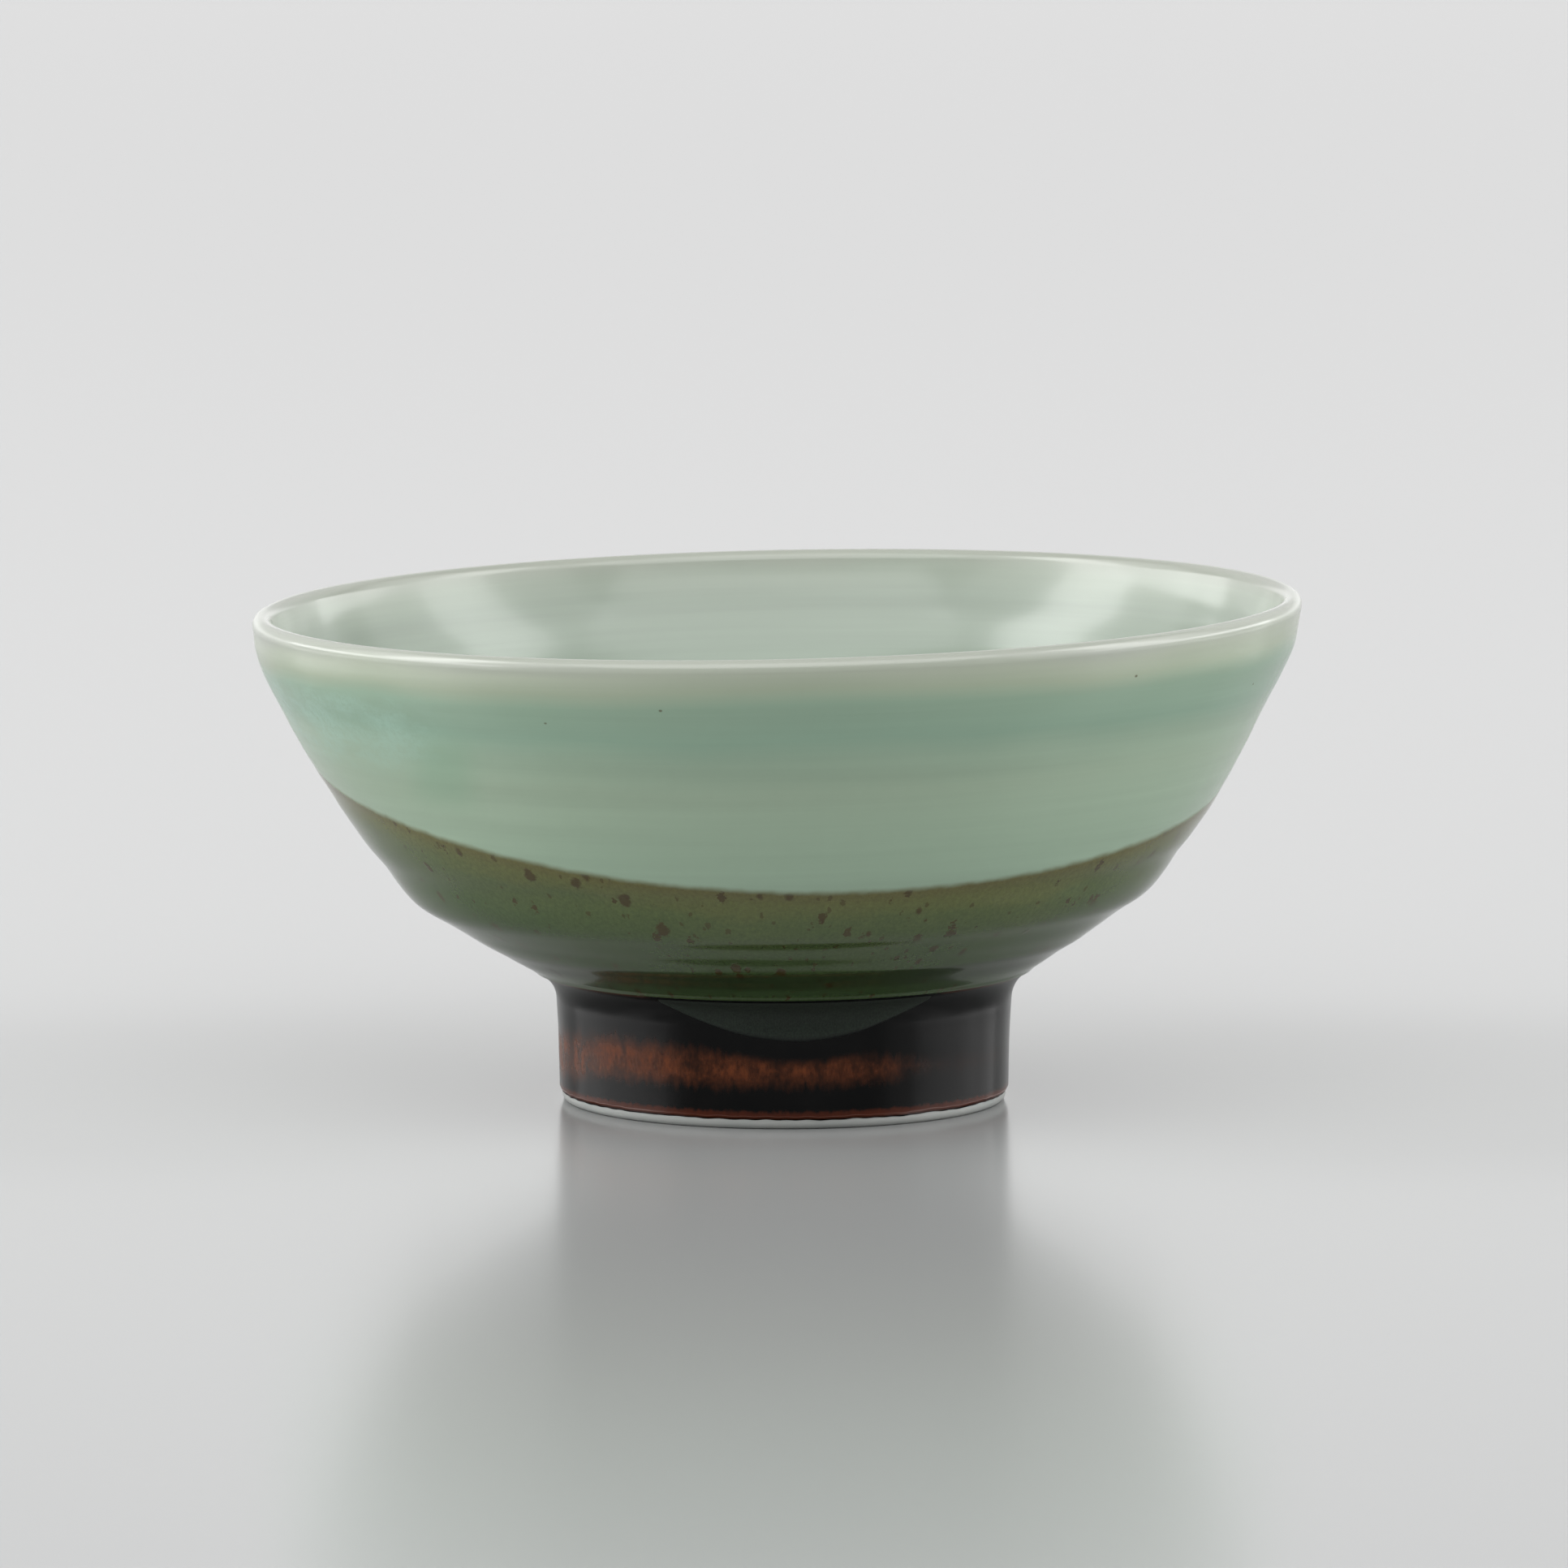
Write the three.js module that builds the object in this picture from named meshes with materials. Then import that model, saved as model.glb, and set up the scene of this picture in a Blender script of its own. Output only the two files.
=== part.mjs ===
// A footed matcha bowl in millimetres, +Z up, standing at Z = 0 on its bare foot ring. -Y is its front.
//
// Two pieces of porcelain, the bowl and its foot ring, carry coats of glaze. One line, the skin, runs in
// section over the finished surface: up the foot, out along the underside, up the wall, over the lip and
// down inside to the middle of the floor. Every coat and both porcelain pieces follow that line at some
// depth under the surface, so they stay nested when a size changes. The line is turned about the axis,
// and the bowl is then settled: above the foot it leans a little to one side.

import * as THREE from 'three';
import { NURBSCurve } from 'three/addons/curves/NURBSCurve.js';

// Overall sizes
const bowlHeight = 61.6; // rest plane to the crest of the lip, before the lean
const rimRadius = 64.6; // axis to the outer side of the lip

// Foot ring
const footRadius = 27.75; // glazed outer wall of the foot
const footFlare = 0.35; // how far the wall has spread at the top of the ring
const ringHeight = 12.4; // the bowl sits on the ring at this height
const ringWidth = 3.4; // width of the flat ring it rests on
const ringInnerDraft = 1.6; // the recess is narrower by this much at its top
const bareHeight = 1.35; // unglazed band at the bottom of the foot
const bareStep = 0.35; // the bare band stands this far inside the glaze
const bareEdgeRadius = 0.85; // rounding of the bare outer edge
const innerEdgeRadius = 0.5; // rounding of the bare inner edge

// Underside, hip and floor, measured up from the top of the ring
const creaseRise = 2.35; // where the lines of the foot and the underside would meet
const creaseBlend = 2.6; // length of the blend along the underside
const hipRise = 16.5; // where the underside turns up into the wall
const hipRadius = 48;
const undersideBow = 1.5; // fullness of the underside just before the hip
const floorThickness = 6; // porcelain and glaze at the middle of the floor
const floorRadius = 22; // where the floor starts to rise

// Wall and lip
const wallBow = 1.5; // fullness of the wall
const hipThickness = 4.4; // wall at the hip, glaze included
const lipRadius = 1.2; // the lip is a half round of this radius
const lipSteepness = THREE.MathUtils.degToRad(78); // slope of the wall at the lip
const lipLead = 7; // the wall reaches that slope over about this length

// Glaze
const clayDepth = 0.75; // finished surface to the porcelain under it
const coatGap = 0.08; // clearance between a coat and what it lies on
const overlapThickness = 0.32; // celadon where it lies over iron
const wellThickness = 0.5; // glaze in the recess of the foot
const wellCornerRadius = 2.5;
const wellBareHeight = 2.2; // unglazed band inside the foot ring
const lipBand = 3; // length of the paler band down each side of the lip

// The top of the iron glaze is a tilted, slightly flattened line, measured down from the crest of the lip.
const ironLineDrop = 21.3;
const ironLineFrontDrop = 7.6;
const ironLineRightDrop = 2.6;
const ironLineFlatten = 0.9;

// The celadon run hangs from the crease over the front of the foot.
const runThickness = 0.28;
const runLength = 5.3; // at its middle
const runEndLength = 1.2; // at its two ends
const runMiddle = THREE.MathUtils.degToRad(3);
const runHalfAngle = THREE.MathUtils.degToRad(34);
const runTopInset = 0.12; // share of the blend curve left above the run

// Lean of the bowl over its foot, to the left seen from the front
const lean = THREE.MathUtils.degToRad(1.2);
const leanStart = ringHeight - 2.4;
const leanLength = 16; // the lean grows to its full angle over this height
const bowlShift = 0.4; // the bowl sits this far to the right on its foot

const turnSegments = 48;

// ---- the skin line: radius in x, height in y --------------------------------------------------------

// Clamped uniform cubic B-spline that starts and ends on its first and last control points.
function smoothCurve(points) {
  const degree = 3;
  const spans = points.length - degree;
  const knots = new Array(degree).fill(0);
  for (let i = 0; i <= spans; i++) knots.push(i / spans);
  knots.push(...new Array(degree).fill(1));
  const controls = points.map((p) => new THREE.Vector4(p.x, p.y, 0, 1));
  return new NURBSCurve(degree, knots, controls);
}

// A control point at a share of the way along a chord, moved out to the right of the way the chord runs.
function bowed(start, end, share, bow) {
  const along = end.clone().sub(start);
  const outward = new THREE.Vector2(along.y, -along.x).normalize();
  return start.clone().lerp(end, share).addScaledVector(outward, bow);
}

const lipSlope = new THREE.Vector2(Math.cos(lipSteepness), Math.sin(lipSteepness));
const lipInward = new THREE.Vector2(-lipSlope.y, lipSlope.x);
const lipCentre = new THREE.Vector2(rimRadius - lipRadius, bowlHeight - lipRadius);
const lipOuter = lipCentre.clone().addScaledVector(lipInward, -lipRadius);
const lipInner = lipCentre.clone().addScaledVector(lipInward, lipRadius);

const creaseCorner = new THREE.Vector2(footRadius + footFlare, ringHeight + creaseRise);
const hip = new THREE.Vector2(hipRadius, ringHeight + hipRise);
const undersideControls = [
  bowed(creaseCorner, hip, 0.3, undersideBow / 5),
  bowed(creaseCorner, hip, 0.55, undersideBow / 2),
  bowed(creaseCorner, hip, 0.8, undersideBow),
];
const undersideSlope = undersideControls[0].clone().sub(creaseCorner).normalize();
const undersideStart = creaseCorner.clone().addScaledVector(undersideSlope, creaseBlend);

const lowerWall = 0.27;
const upperWall = 0.54;
const thicknessAt = (share) => THREE.MathUtils.lerp(hipThickness, 2 * lipRadius, share);
const outerWallControls = [
  bowed(hip, lipOuter, lowerWall, wallBow),
  bowed(hip, lipOuter, upperWall, wallBow),
  lipOuter.clone().addScaledVector(lipSlope, -lipLead),
];
const innerWallControls = [
  lipInner.clone().addScaledVector(lipSlope, -lipLead),
  bowed(hip, lipOuter, upperWall, wallBow - thicknessAt(upperWall)),
  bowed(hip, lipOuter, lowerWall, wallBow - thicknessAt(lowerWall)),
  bowed(hip, lipOuter, 0, -hipThickness),
];

const floorHeight = ringHeight + floorThickness;
const floorControls = [
  new THREE.Vector2(floorRadius, floorHeight),
  new THREE.Vector2(floorRadius / 3, floorHeight),
  new THREE.Vector2(0, floorHeight),
];
floorControls.unshift(innerWallControls.at(-1).clone().lerp(floorControls[0], 0.55));

const footTop = new THREE.Vector2(footRadius + footFlare, ringHeight);
const lipStartAngle = lipInward.angle() - Math.PI;
const skinCurves = [
  new THREE.QuadraticBezierCurve(
    new THREE.Vector2(footRadius, bareHeight),
    new THREE.Vector2(footRadius, (bareHeight + ringHeight) / 2),
    footTop,
  ),
  new THREE.QuadraticBezierCurve(footTop, creaseCorner, undersideStart),
  smoothCurve([undersideStart, ...undersideControls, hip, ...outerWallControls, lipOuter]),
  new THREE.ArcCurve(lipCentre.x, lipCentre.y, lipRadius, lipStartAngle, lipStartAngle + Math.PI, false),
  smoothCurve([lipInner, ...innerWallControls, ...floorControls]),
];

// Stations number the skin: the whole number picks the curve and the rest is the place along it.
const bareLine = 0;
const ringTop = 1;
const crease = 2;
const lipStart = 3;
const lipEnd = 4;
const floorMiddle = 5;

function skinPoint(station) {
  const index = Math.min(Math.floor(station), skinCurves.length - 1);
  const point = skinCurves[index].getPoint(station - index);
  return new THREE.Vector2(point.x, point.y);
}

// A point at a depth under the finished surface; a negative depth stands proud of it.
function pointUnder(station, depth) {
  const step = 1e-3;
  const before = skinPoint(Math.max(station - step, bareLine));
  const after = skinPoint(Math.min(station + step, floorMiddle));
  const along = after.sub(before).normalize();
  const inward = new THREE.Vector2(-along.y, along.x);
  const point = skinPoint(station).addScaledVector(inward, depth);
  if (station === floorMiddle) point.x = 0;
  return point;
}

// The first station between two others whose skin point passes a test, found by halving.
function stationWhere(low, high, passes) {
  const halvings = 40;
  for (let i = 0; i < halvings; i++) {
    const middle = (low + high) / 2;
    if (passes(skinPoint(middle))) high = middle;
    else low = middle;
  }
  return high;
}

function ironLineStation(azimuth) {
  const height =
    bowlHeight -
    ironLineDrop -
    ironLineFrontDrop * Math.cos(azimuth) -
    ironLineRightDrop * Math.sin(azimuth) -
    ironLineFlatten * Math.cos(2 * azimuth);
  return stationWhere(crease, lipStart, (point) => point.y > height);
}

const lipBandOuter = stationWhere(crease, lipStart, (point) => point.distanceTo(lipOuter) < lipBand);
const lipBandInner = stationWhere(lipEnd, floorMiddle, (point) => point.distanceTo(lipInner) > lipBand);

// ---- rows: every piece uses the same rows, so neighbours share their facets --------------------------

const rowGroups = {
  foot: { from: () => bareLine, to: () => ringTop, count: 3 },
  blend: { from: () => ringTop, to: () => crease, count: 5 },
  overIron: { from: () => crease, to: ironLineStation, count: 6 },
  overClay: { from: ironLineStation, to: () => lipBandOuter, count: 4 },
  outsideLip: { from: () => lipBandOuter, to: () => lipStart, count: 1 },
  lip: { from: () => lipStart, to: () => lipEnd, count: 5 },
  insideLip: { from: () => lipEnd, to: () => lipBandInner, count: 1 },
  inside: { from: () => lipBandInner, to: () => floorMiddle, count: 9 },
};

// Index of the last row of each group
const lastRow = {};
let rowCount = 0;
for (const [name, { count }] of Object.entries(rowGroups)) {
  rowCount += count;
  lastRow[name] = rowCount;
}

function rowStations(azimuth) {
  const stations = [bareLine];
  for (const { from, to, count } of Object.values(rowGroups)) {
    const start = from(azimuth);
    const end = to(azimuth);
    for (let i = 1; i <= count; i++) stations.push(THREE.MathUtils.lerp(start, end, i / count));
  }
  return stations;
}

// An end point of a layer, drawn back half a gap from the neighbouring coat.
function drawnBack(end, neighbour) {
  const towards = neighbour.clone().sub(end).normalize();
  return end.clone().addScaledVector(towards, coatGap / 2);
}

// The skin's points from one row to another at one depth. A trimmed end is drawn back.
function layer(azimuth, first, last, depth, { trimStart = false, trimEnd = false } = {}) {
  const points = rowStations(azimuth)
    .slice(first, last + 1)
    .map((station) => pointUnder(station, depth));
  if (trimStart) points[0] = drawnBack(points[0], points[1]);
  if (trimEnd) points[points.length - 1] = drawnBack(points.at(-1), points.at(-2));
  return points;
}

// ---- solids ------------------------------------------------------------------------------------------

// Leans a point of the bowl over its foot. Nothing below leanStart moves.
function settle(point) {
  const share = THREE.MathUtils.smoothstep(point.z, leanStart, leanStart + leanLength);
  point.applyAxisAngle(new THREE.Vector3(0, 1, 0), -lean * share);
  point.x += bowlShift * share;
  return point;
}

function onBowl(azimuth, { x: radius, y: height }) {
  return settle(new THREE.Vector3(radius * Math.sin(azimuth), -radius * Math.cos(azimuth), height));
}

// Splits every facet across its shorter diagonal. Facets that lie over each other are then split alike, so
// a coat keeps its clearance where the rows climb steeply round the bowl.
function splitAcross(geometry) {
  const index = geometry.getIndex();
  const position = geometry.getAttribute('position');
  const corner = (i) => new THREE.Vector3().fromBufferAttribute(position, i);
  for (let i = 0; i < index.count; i += 6) {
    const [a, b, d, c] = [0, 1, 2, 3].map((k) => index.getX(i + k));
    if (corner(a).distanceTo(corner(c)) < corner(b).distanceTo(corner(d))) {
      [a, b, c, c, d, a].forEach((vertex, k) => index.setX(i + k, vertex));
    }
  }
}

// Turns a section that may change with the azimuth. LatheGeometry makes the facets, and each column of its
// vertices is then laid on that azimuth's own section.
function turned(sectionAt) {
  const geometry = new THREE.LatheGeometry(sectionAt(0), turnSegments);
  const position = geometry.getAttribute('position');
  for (let column = 0; column <= turnSegments; column++) {
    const azimuth = ((column % turnSegments) * 2 * Math.PI) / turnSegments;
    sectionAt(azimuth).forEach((point, row, section) => {
      const { x, y, z } = onBowl(azimuth, point);
      position.setXYZ(column * section.length + row, x, y, z);
    });
  }
  splitAcross(geometry);
  geometry.computeVertexNormals();
  return geometry;
}

// A coat of glaze between two rows and two depths
function coat(first, last, outerDepth, innerDepth, trims) {
  return turned((azimuth) => {
    const outside = layer(azimuth, first, last, outerDepth, trims);
    const inside = layer(azimuth, first, last, innerDepth, trims).reverse();
    return [...outside, ...inside, outside[0]];
  });
}

function bowlBody() {
  return turned((azimuth) => [
    new THREE.Vector2(0, ringHeight),
    ...layer(azimuth, lastRow.foot, lastRow.inside, clayDepth),
  ]);
}

const bareRadius = footRadius - bareStep;
const ringInnerRadius = bareRadius - bareEdgeRadius - ringWidth - innerEdgeRadius;

// Radius of the recess in the ring at a height
function recessRadius(height) {
  return ringInnerRadius - (ringInnerDraft * height) / ringHeight;
}

// A rounded bottom edge of the ring in section, a quarter turn about a centre one edge radius up
function bottomEdge(centreRadius, edgeRadius, startAngle) {
  const endAngle = startAngle + Math.PI / 2;
  const arc = new THREE.ArcCurve(centreRadius, edgeRadius, edgeRadius, startAngle, endAngle, false);
  return arc.getPoints(3).map(({ x, y }) => new THREE.Vector2(x, y));
}

function footRing() {
  const top = ringHeight - coatGap;
  return turned((azimuth) => {
    const wall = layer(azimuth, 0, lastRow.foot, clayDepth);
    wall.at(-1).y = top;
    const section = [
      new THREE.Vector2(recessRadius(top), top),
      ...bottomEdge(ringInnerRadius + innerEdgeRadius, innerEdgeRadius, Math.PI),
      ...bottomEdge(bareRadius - bareEdgeRadius, bareEdgeRadius, -Math.PI / 2),
      ...wall,
    ];
    return [...section, section[0]];
  });
}

// The iron glaze lies at the surface on the foot and under the celadon above the crease.
function ironCoat() {
  const underCeladon = overlapThickness + coatGap;
  const back = clayDepth - coatGap;
  const trims = { trimEnd: true };
  return turned((azimuth) => {
    const onFoot = layer(azimuth, 0, lastRow.blend, 0, trims);
    const underOverlap = layer(azimuth, lastRow.blend, lastRow.overIron, underCeladon, trims);
    const behind = layer(azimuth, 0, lastRow.overIron, back, trims).reverse();
    return [...onFoot, ...underOverlap, ...behind, onFoot[0]];
  });
}

function wellGlaze() {
  const top = ringHeight - coatGap;
  const ceiling = top - wellThickness;
  const backRadius = (height) => recessRadius(height) - coatGap;
  const faceRadius = (height) => backRadius(height) - wellThickness;
  const corner = new THREE.QuadraticBezierCurve(
    new THREE.Vector2(faceRadius(ceiling) - wellCornerRadius, ceiling),
    new THREE.Vector2(faceRadius(ceiling), ceiling),
    new THREE.Vector2(faceRadius(ceiling - wellCornerRadius), ceiling - wellCornerRadius),
  );
  const section = [
    new THREE.Vector2(0, ceiling),
    ...corner.getPoints(3),
    new THREE.Vector2(faceRadius(wellBareHeight), wellBareHeight),
    new THREE.Vector2(backRadius(wellBareHeight), wellBareHeight),
    new THREE.Vector2(backRadius(top), top),
    new THREE.Vector2(0, top),
  ];
  return turned(() => section);
}

// The run is a box bent onto the front of the foot: along the azimuth, down the foot, and out from it.
function footRun() {
  const geometry = new THREE.BoxGeometry(1, 1, 1, 20, 5, 1);
  const position = geometry.getAttribute('position');
  const topHeight = skinPoint(crease - runTopInset).y;
  for (let i = 0; i < position.count; i++) {
    const across = 2 * position.getX(i);
    const down = 0.5 - position.getY(i);
    const out = 0.5 + position.getZ(i);
    const azimuth = runMiddle + across * runHalfAngle;
    const length = THREE.MathUtils.lerp(runLength, runEndLength, across * across);
    const height = topHeight - down * length;
    const station = stationWhere(bareLine, crease, (point) => point.y > height);
    const { x, y, z } = onBowl(azimuth, pointUnder(station, -coatGap - out * runThickness));
    position.setXYZ(i, x, y, z);
  }
  geometry.computeVertexNormals();
  return geometry;
}

// ---- pieces and their materials ----------------------------------------------------------------------

function ceramic(color, roughness) {
  return new THREE.MeshStandardMaterial({ color, roughness, metalness: 0 });
}

const glazeBack = clayDepth - coatGap;
const bothEnds = { trimStart: true, trimEnd: true };

const pieces = [
  { name: 'bowl_body', geometry: bowlBody(), material: ceramic('#dcd8cc', 0.7) },
  { name: 'foot_ring', geometry: footRing(), material: ceramic('#d8d3c6', 0.75) },
  {
    name: 'inner_celadon_glaze',
    geometry: coat(lastRow.insideLip, lastRow.inside, 0, glazeBack, { trimStart: true }),
    material: ceramic('#b3c2b0', 0.12),
  },
  {
    name: 'lip_celadon_glaze',
    geometry: coat(lastRow.overClay, lastRow.insideLip, 0, glazeBack, bothEnds),
    material: ceramic('#c6cbbd', 0.12),
  },
  {
    name: 'outer_celadon_glaze',
    geometry: coat(lastRow.overIron, lastRow.overClay, 0, glazeBack, bothEnds),
    material: ceramic('#8ea893', 0.1),
  },
  {
    name: 'overlap_glaze',
    geometry: coat(lastRow.blend, lastRow.overIron, 0, overlapThickness, bothEnds),
    material: ceramic('#565c42', 0.12),
  },
  { name: 'foot_celadon_run', geometry: footRun(), material: ceramic('#222c29', 0.2) },
  { name: 'iron_glaze_coat', geometry: ironCoat(), material: ceramic('#2a1a14', 0.18) },
  { name: 'foot_well_glaze', geometry: wellGlaze(), material: ceramic('#2b1d17', 0.25) },
];

// ---- assembly ----------------------------------------------------------------------------------------

// The rim's centre is the part's centre, so the whole bowl moves back by what the lean moved the rim.
const bowl = new THREE.Group();
bowl.position.x = lipCentre.y * Math.sin(lean) - bowlShift;

for (const { name, geometry, material } of pieces) {
  const mesh = new THREE.Mesh(geometry, material);
  mesh.name = name;
  bowl.add(mesh);
}

const part = new THREE.Group();
part.add(bowl);

export default part;
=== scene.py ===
"""The looks of a footed matcha bowl: pale celadon over porcelain, celadon over iron glaze below a tilted
line, and an iron-glazed foot with a bare edge.

Every coat and both porcelain pieces are turned from one line, the skin, which runs in section over the
finished surface: up the foot, out along the underside, up the wall, over the lip and down inside to the
middle of the floor. A place on the bowl is an arc length along that line and a turn about the axis.
Sections are in millimetres and the meshes are in metres.
"""

import math

import bpy
import numpy as np
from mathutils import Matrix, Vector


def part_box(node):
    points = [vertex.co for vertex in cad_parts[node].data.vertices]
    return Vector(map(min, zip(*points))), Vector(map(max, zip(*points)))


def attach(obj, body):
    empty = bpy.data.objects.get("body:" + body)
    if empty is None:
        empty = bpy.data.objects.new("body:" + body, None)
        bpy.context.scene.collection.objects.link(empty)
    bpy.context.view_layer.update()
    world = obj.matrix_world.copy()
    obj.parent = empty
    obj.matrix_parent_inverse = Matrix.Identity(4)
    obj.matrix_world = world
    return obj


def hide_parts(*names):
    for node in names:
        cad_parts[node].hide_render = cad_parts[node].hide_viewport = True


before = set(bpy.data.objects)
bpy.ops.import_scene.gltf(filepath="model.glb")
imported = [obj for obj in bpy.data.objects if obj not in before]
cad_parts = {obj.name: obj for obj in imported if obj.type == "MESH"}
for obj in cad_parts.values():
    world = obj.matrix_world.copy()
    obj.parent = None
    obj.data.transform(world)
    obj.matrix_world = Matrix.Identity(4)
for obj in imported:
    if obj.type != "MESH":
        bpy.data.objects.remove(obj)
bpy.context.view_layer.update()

MM = 0.001
COLUMNS = 384  # facets round the bowl
SKIRT = 0.6  # the skin line starts this far below the bare line, in mm
UNROLLED_RADIUS = 45.0  # textures lie on the skin rolled on a cylinder of this radius, in mm
ROW_STEP = 0.7  # length of a facet along the skin, in mm

# Form of the bowl, in mm, as the CAD model has it
BOWL_HEIGHT = 61.6
RIM_RADIUS = 64.6
FOOT_RADIUS = 27.75
FOOT_FLARE = 0.35
RING_HEIGHT = 12.4
RING_WIDTH = 3.4
RING_INNER_DRAFT = 1.6
BARE_HEIGHT = 1.35
BARE_STEP = 0.35
BARE_EDGE_RADIUS = 0.85
INNER_EDGE_RADIUS = 0.5
CREASE_RISE = 2.35
CREASE_BLEND = 2.6
HIP_RISE = 16.5
HIP_RADIUS = 48.0
UNDERSIDE_BOW = 1.5
FLOOR_THICKNESS = 6.0
FLOOR_RADIUS = 22.0
WALL_BOW = 1.5
HIP_THICKNESS = 4.4
LIP_RADIUS = 1.2
LIP_STEEPNESS = math.radians(78)
LIP_LEAD = 7.0
CLAY_DEPTH = 0.75
COAT_GAP = 0.08
OVERLAP_THICKNESS = 0.32
WELL_THICKNESS = 0.5
WELL_CORNER_RADIUS = 2.5
WELL_BARE_HEIGHT = 2.2
LIP_BAND = 3.0
IRON_LINE = (21.3, 7.6, 2.6, 0.9)  # drop from the lip, front drop, right drop, flattening
RUN_LENGTH, RUN_END_LENGTH = 5.0, 0.3
RUN_MIDDLE, RUN_HALF_ANGLE = math.radians(3), math.radians(34)
RUN_THICKNESS = 0.28
LEAN = math.radians(1.2)
LEAN_START = RING_HEIGHT - 2.4
LEAN_LENGTH = 16.0
BOWL_SHIFT = 0.4

foot_low, foot_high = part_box("foot_ring")
AXIS_X = (foot_low.x + foot_high.x) / 2 / MM


# ---- the skin line ------------------------------------------------------------------------------------


def bezier(start, control, end):
    return lambda t: (
        np.outer((1 - t) ** 2, start) + np.outer(2 * t * (1 - t), control) + np.outer(t * t, end)
    )


def spline(controls):
    """A clamped uniform cubic B-spline."""
    degree = 3
    inner_knots = np.linspace(0, 1, len(controls) - degree + 1)
    knots = np.concatenate(([0] * degree, inner_knots, [1] * degree))

    def at(t):
        t = np.clip(t, 0, 1 - 1e-12)
        basis = [np.where((a <= t) & (t < b), 1.0, 0.0) for a, b in zip(knots, knots[1:])]
        for d in range(1, degree + 1):
            basis = [
                ramp_share(t, knots[i], knots[i + d]) * basis[i]
                + ramp_share(t, knots[i + d + 1], knots[i + 1]) * basis[i + 1]
                for i in range(len(basis) - 1)
            ]
        return sum(np.outer(b, c) for b, c in zip(basis, controls))

    return at


def ramp_share(t, start, end):
    return (t - start) / (end - start) if end != start else np.zeros_like(t)


def bowed(start, end, share, bow):
    """A point at a share of the way along a chord, moved out to the right of it."""
    along = end - start
    outward = np.array([along[1], -along[0]]) / np.hypot(*along)
    return start + share * along + bow * outward


def skin_curves():
    lip_slope = np.array([math.cos(LIP_STEEPNESS), math.sin(LIP_STEEPNESS)])
    lip_inward = np.array([-lip_slope[1], lip_slope[0]])
    lip_centre = np.array([RIM_RADIUS - LIP_RADIUS, BOWL_HEIGHT - LIP_RADIUS])
    lip_outer = lip_centre - LIP_RADIUS * lip_inward
    lip_inner = lip_centre + LIP_RADIUS * lip_inward
    foot_top = np.array([FOOT_RADIUS + FOOT_FLARE, RING_HEIGHT])
    corner = foot_top + [0, CREASE_RISE]
    hip = np.array([HIP_RADIUS, RING_HEIGHT + HIP_RISE])
    underside = [
        bowed(corner, hip, 0.3, UNDERSIDE_BOW / 5),
        bowed(corner, hip, 0.55, UNDERSIDE_BOW / 2),
        bowed(corner, hip, 0.8, UNDERSIDE_BOW),
    ]
    slope = (underside[0] - corner) / np.hypot(*(underside[0] - corner))
    underside_start = corner + CREASE_BLEND * slope
    wall = [(0.27, WALL_BOW), (0.54, WALL_BOW)]
    outer_wall = [bowed(hip, lip_outer, share, bow) for share, bow in wall]
    thin = [(s, b - HIP_THICKNESS - (2 * LIP_RADIUS - HIP_THICKNESS) * s) for s, b in wall]
    inner_wall = [bowed(hip, lip_outer, share, bow) for share, bow in reversed(thin)]
    inner_hip = bowed(hip, lip_outer, 0, -HIP_THICKNESS)
    floor_edge = np.array([FLOOR_RADIUS, RING_HEIGHT + FLOOR_THICKNESS])
    floor = [
        inner_hip + 0.55 * (floor_edge - inner_hip),
        floor_edge,
        floor_edge * [1 / 3, 1],
        floor_edge * [0, 1],
    ]
    lead = LIP_LEAD * lip_slope

    def lip(t):
        angle = math.atan2(*lip_inward[::-1]) - math.pi + math.pi * t
        return lip_centre + LIP_RADIUS * np.stack([np.cos(angle), np.sin(angle)], -1)

    return [
        bezier(
            [FOOT_RADIUS, BARE_HEIGHT], [FOOT_RADIUS, (BARE_HEIGHT + RING_HEIGHT) / 2], foot_top
        ),
        bezier(foot_top, corner, underside_start),
        spline([underside_start, *underside, hip, *outer_wall, lip_outer - lead, lip_outer]),
        lip,
        spline([lip_inner, lip_inner - lead, *inner_wall, inner_hip, *floor]),
    ]


def skin_table():
    """The skin's points, arc lengths and inward normals, and the arc length of each curve's end."""
    samples = np.linspace(0, 1, 1200)
    curves = [c(samples) for c in skin_curves()]
    points = np.concatenate([curves[0]] + [c[1:] for c in curves[1:]])
    steps = np.hypot(*np.diff(points, axis=0).T)
    arc = np.concatenate(([0], np.cumsum(steps)))
    along = np.gradient(points, arc, axis=0)
    along /= np.hypot(*along.T)[:, None]
    ends = [0] + [arc[(k + 1) * (len(samples) - 1)] for k in range(len(curves))]
    inward = np.stack([-along[:, 1], along[:, 0]], -1)
    below = points[0] - [0, SKIRT]
    return np.vstack([below, points]), np.append(-SKIRT, arc), np.vstack([inward[0], inward]), ends


SKIN, ARC, INWARD, (S_BARE, S_RING, S_CREASE, S_LIP, S_LIP_END, S_FLOOR) = skin_table()
S_BAND_OUT = S_LIP - LIP_BAND
S_BAND_IN = S_LIP_END + LIP_BAND
OUTSIDE = ARC <= S_LIP
TURNS = np.arange(COLUMNS) * 2 * math.pi / COLUMNS


def level_at(s):
    """Height of the finished surface before the bowl leans, in mm."""
    return np.interp(s, ARC, SKIN[:, 1])


def arc_at_level(level):
    """Arc length on the outside at a height."""
    return np.interp(level, SKIN[OUTSIDE, 1], ARC[OUTSIDE])


def iron_level(turn):
    drop, front, right, flatten = IRON_LINE
    return (
        BOWL_HEIGHT - drop - front * np.cos(turn) - right * np.sin(turn) - flatten * np.cos(2 * turn)
    )


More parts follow.
